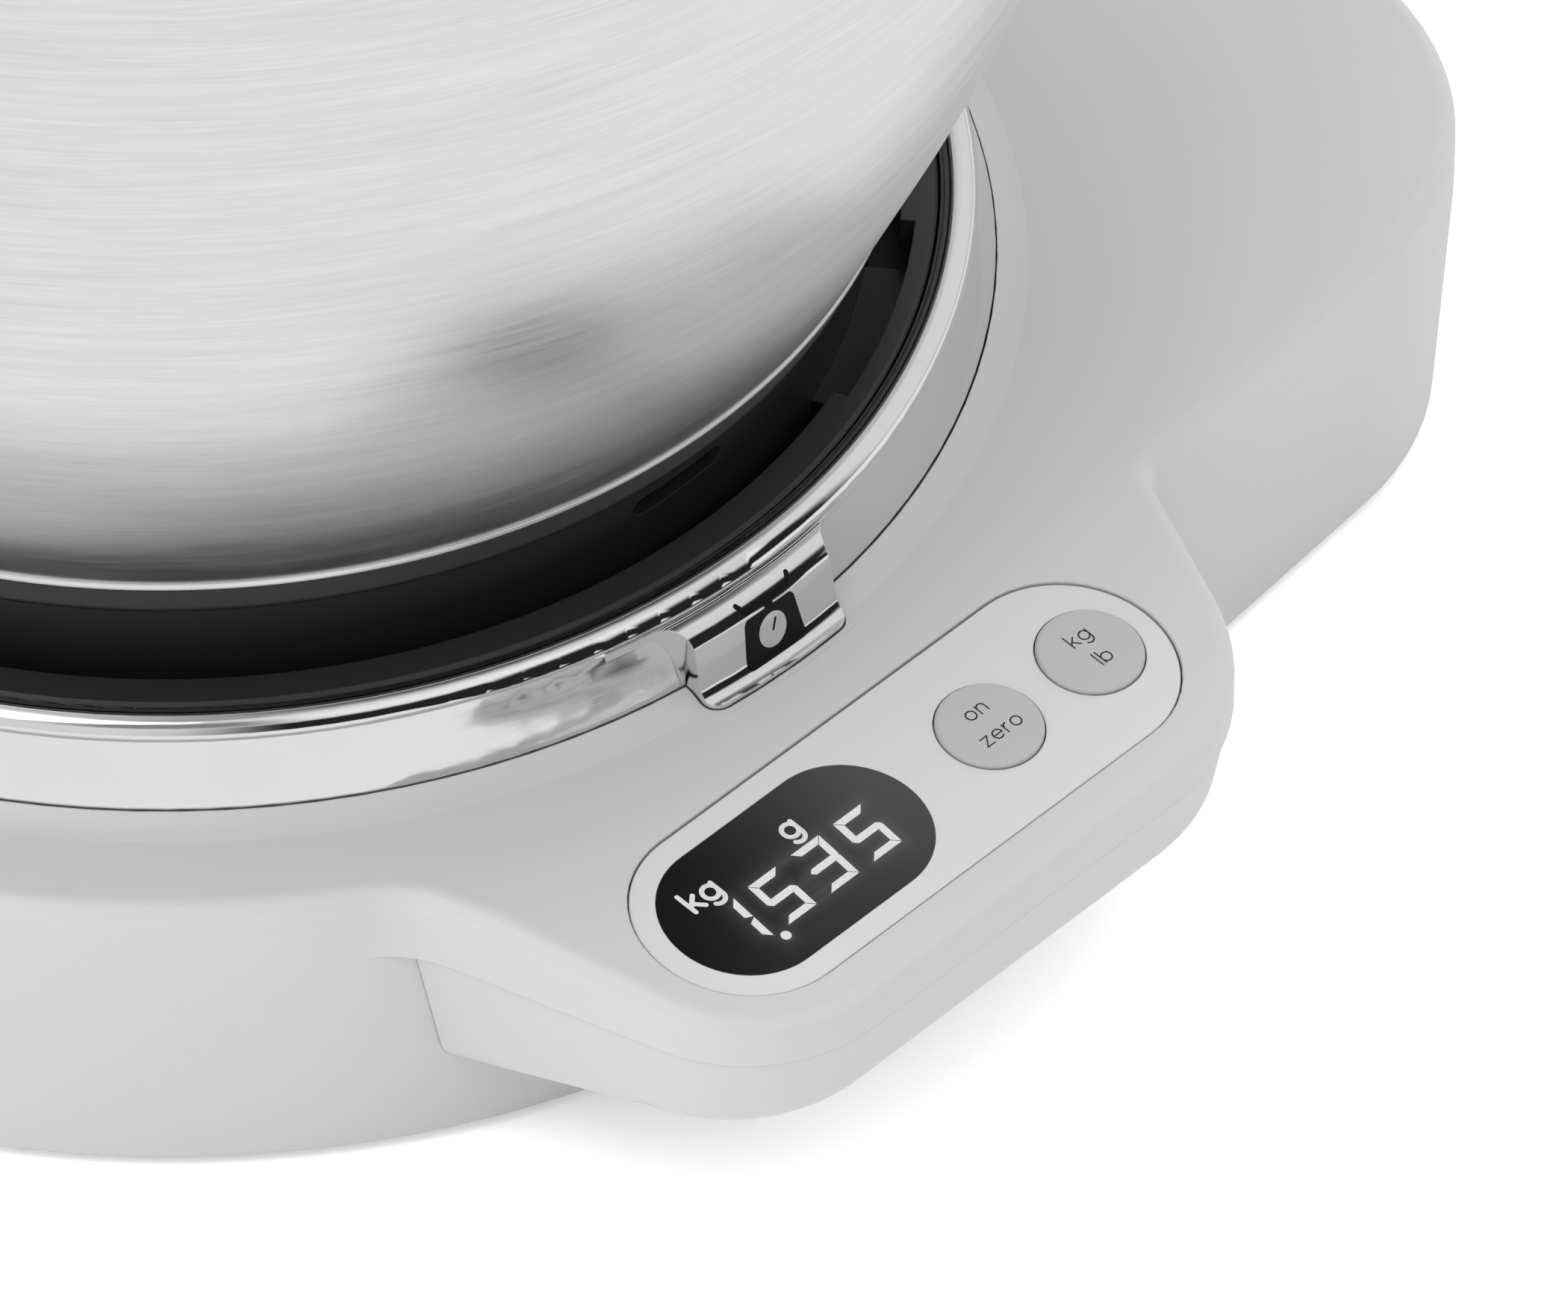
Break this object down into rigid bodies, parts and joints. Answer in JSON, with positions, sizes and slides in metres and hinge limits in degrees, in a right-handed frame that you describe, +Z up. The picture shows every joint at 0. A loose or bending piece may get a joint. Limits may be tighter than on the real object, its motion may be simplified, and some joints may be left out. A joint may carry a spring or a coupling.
{
  "type": "kitchen scale",
  "caption": "Kitchen scale with a control pod, a digital display, a chrome collar, a black twist-lock bowl seat on a load cell, and a lift-off brushed steel bowl.",
  "frame": {"origin": "where the bowl axis meets the table", "axes": "+Z up along the bowl axis; the control pod points to -Y; the round front of the base is at -X and its closed back at +X"},
  "size_m": [0.2816, 0.2878, 0.2247],
  "materials": {
    "housing_grey": "satin moulded",
    "cover_grey": "fine moulded texture",
    "panel_light": "satin moulded",
    "button_grey": "satin moulded",
    "display_dark": "gloss tinted window",
    "display_box": "matt",
    "collar_chrome": "mirror polished",
    "seat_black": "fine moulded texture",
    "ring_black": "satin moulded",
    "bowl_steel": "brushed around the bowl",
    "cell_aluminium": "milled",
    "screw_steel": "zinc plated",
    "post_plastic": "matt",
    "foot_rubber": "matt",
    "pad_rubber": "matt",
    "battery_wrap": "gloss sleeve",
    "contact_metal": "nickel plated",
    "board_green": "solder mask",
    "chip_black": "matt",
    "connector_white": "matt",
    "switch_black": "matt",
    "lead_grey": "soft jacket"
  },
  "bodies": {
    "base": {"battery_1": "battery_wrap", "battery_2": "battery_wrap", "battery_3": "battery_wrap", "battery_4": "battery_wrap", "battery_contact_plates": "contact_metal", "battery_lead": "lead_grey", "battery_springs": "contact_metal", "board_connector": "connector_white", "board_processor": "chip_black", "board_screws": "screw_steel", "bottom_cover": "cover_grey", "button_switches": "switch_black", "chrome_collar": "collar_chrome", "control_board": "board_green", "control_panel": "panel_light", "display_module": "display_box", "display_window": "display_dark", "housing_screws": "screw_steel", "load_cell": "cell_aluminium", "load_cell_lead": "lead_grey", "load_cell_lower_screws": "screw_steel", "load_cell_lower_spacer": "cell_aluminium", "overload_stop_post": "post_plastic", "overload_stop_screw": "screw_steel", "pod_lower_shell": "housing_grey", "pod_screws": "screw_steel", "rubber_foot_1": "foot_rubber", "rubber_foot_2": "foot_rubber", "rubber_foot_3": "foot_rubber", "rubber_foot_4": "foot_rubber", "top_housing": "housing_grey"},
    "platform": {"platform_carrier": "cell_aluminium", "load_cell_upper_spacer": "cell_aluminium", "load_cell_upper_screws": "screw_steel", "seat": "seat_black", "seat_pads": "pad_rubber", "seat_screws": "screw_steel"},
    "bowl": {"bowl": "bowl_steel", "bowl_base": "ring_black", "ring_retainer": "ring_black", "retainer_screws": "screw_steel"},
    "lock_ring": {"lock_ring": "ring_black"},
    "zero_button": {"zero_button": "button_grey"},
    "unit_button": {"unit_button": "button_grey"},
    "battery_door": {"battery_door": "cover_grey"}
  },
  "joints": [
    {"name": "weighing_platform", "type": "slide", "parent": "base", "child": "platform", "axis": [0, 0, 1], "range_m": [-0.0005, 0], "stiffness_N_per_m": 150000, "springref_m": 0.0002, "deforming": ["load_cell"]},
    {"name": "bowl_lift", "type": "slide", "parent": "platform", "child": "bowl", "axis": [0, 0, 1], "range_m": [0, 0.09]},
    {"name": "bowl_lock", "type": "hinge", "parent": "bowl", "child": "lock_ring", "pos_m": [0, 0, 0.06], "axis": [0, 0, 1], "range_deg": [-28, 0]},
    {"name": "zero_press", "type": "slide", "parent": "base", "child": "zero_button", "axis": [0, 0.1231, -0.9924], "range_m": [0, 0.0008], "stiffness_N_per_m": 1500},
    {"name": "unit_press", "type": "slide", "parent": "base", "child": "unit_button", "axis": [0, 0.1231, -0.9924], "range_m": [0, 0.0008], "stiffness_N_per_m": 1500},
    {"name": "battery_door_slide", "type": "slide", "parent": "base", "child": "battery_door", "axis": [-1, 0, 0], "range_m": [0, 0.006]}
  ]
}
